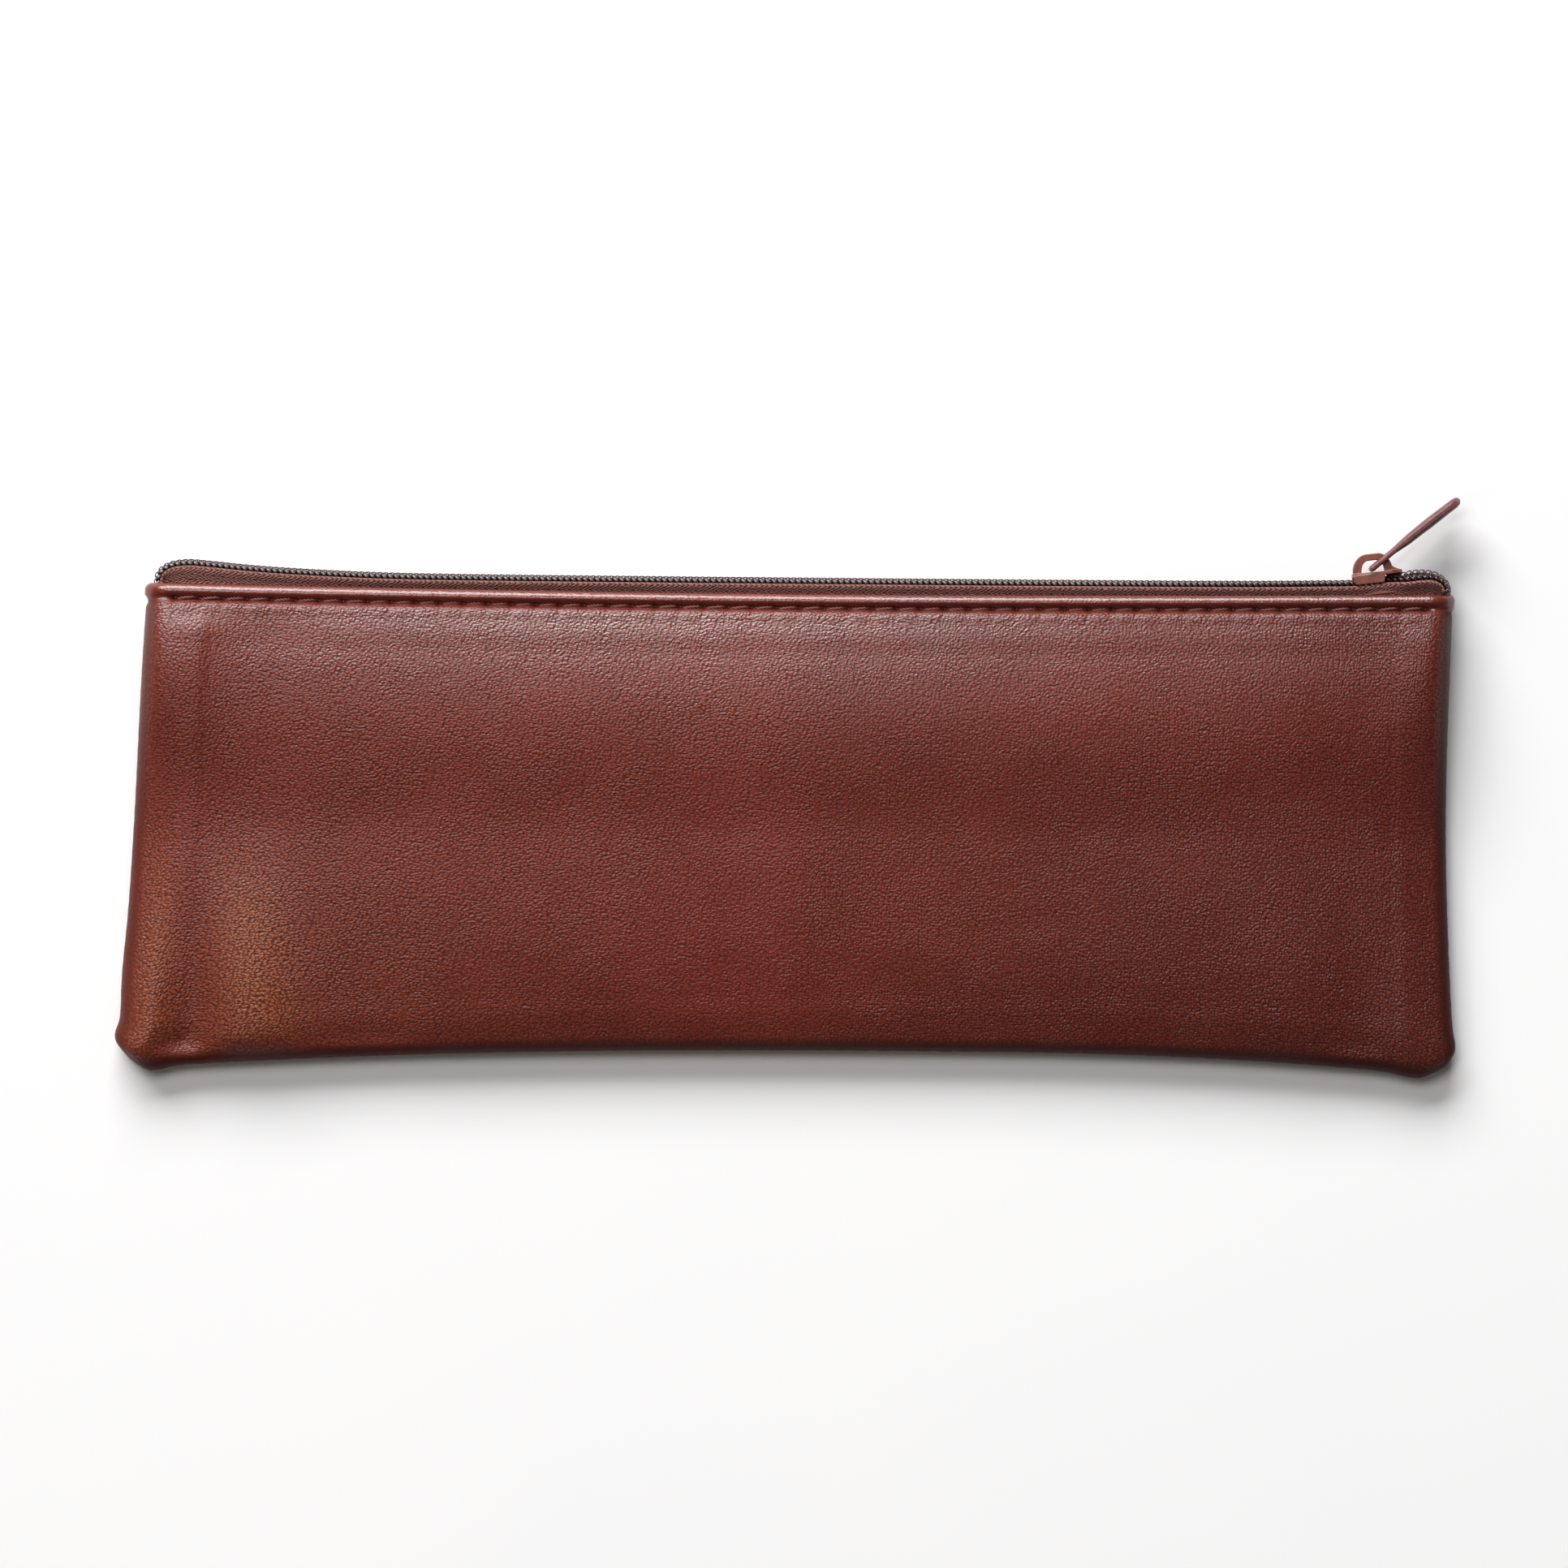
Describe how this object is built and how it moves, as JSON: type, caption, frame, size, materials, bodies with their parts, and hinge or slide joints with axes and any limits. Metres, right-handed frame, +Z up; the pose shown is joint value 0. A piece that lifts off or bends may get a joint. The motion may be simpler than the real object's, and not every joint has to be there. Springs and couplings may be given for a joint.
{
  "type": "zippered pouch",
  "caption": "Flat, slim leather pouch with a turned and topstitched mouth, closed along its long edge by a nylon coil zip with a metal slider and pull tab.",
  "frame": {"origin": "middle of the resting face, on the table under the back panel", "axes": "the pouch lies on its back: +X along the zip towards its closed end, +Y from the bottom seam to the zip, +Z up out of the front panel"},
  "size_m": [0.2206, 0.0961, 0.0115],
  "materials": {
    "leather": "satin, fine pebble grain",
    "lining": "plain weave",
    "zip_tape": "herringbone weave",
    "coil": "satin nylon",
    "coil_cord": "twisted cord",
    "thread": "twisted polyester thread",
    "dark_thread": "twisted polyester thread",
    "slider_paint": "satin paint, worn at the edges",
    "pull_paint": "satin paint"
  },
  "bodies": {
    "back_half": {"back_panel": "leather", "back_lining": "lining", "back_zip_tape": "zip_tape", "back_coil": "coil", "back_coil_cord": "coil_cord", "back_coil_stitching": "thread", "back_topstitching": "thread", "left_seam_thread": "thread", "right_seam_thread": "thread", "bottom_seam_thread": "thread", "lining_seam_thread": "dark_thread", "left_bartack": "thread", "right_bartack": "thread"},
    "front_half": {"front_panel": "leather", "front_lining": "lining", "front_zip_tape": "zip_tape", "front_coil": "coil", "front_coil_cord": "coil_cord", "front_coil_stitching": "thread", "front_topstitching": "thread"},
    "slider": {"slider_body": "slider_paint"},
    "pull": {"pull_tab": "pull_paint"}
  },
  "joints": [
    {"name": "zip_slide", "type": "slide", "parent": "back_half", "child": "slider", "axis": [1, 0, 0], "range_m": [-0.185, 0], "deforming": ["front_zip_tape", "front_coil", "front_coil_cord", "front_coil_stitching"]},
    {"name": "pull_swing", "type": "hinge", "parent": "slider", "child": "pull", "pos_m": [0.09579, 0.04091, 0.0054], "axis": [0, 0, 1], "range_deg": [-33, 140]},
    {"name": "mouth_open", "type": "hinge", "parent": "back_half", "child": "front_half", "pos_m": [0, -0.0436, 0.0026], "axis": [1, 0, 0], "range_deg": [0, 10]}
  ],
  "couplings": [
    {"joint": "mouth_open", "follows": "zip_slide", "rad_per_m": -0.94}
  ]
}
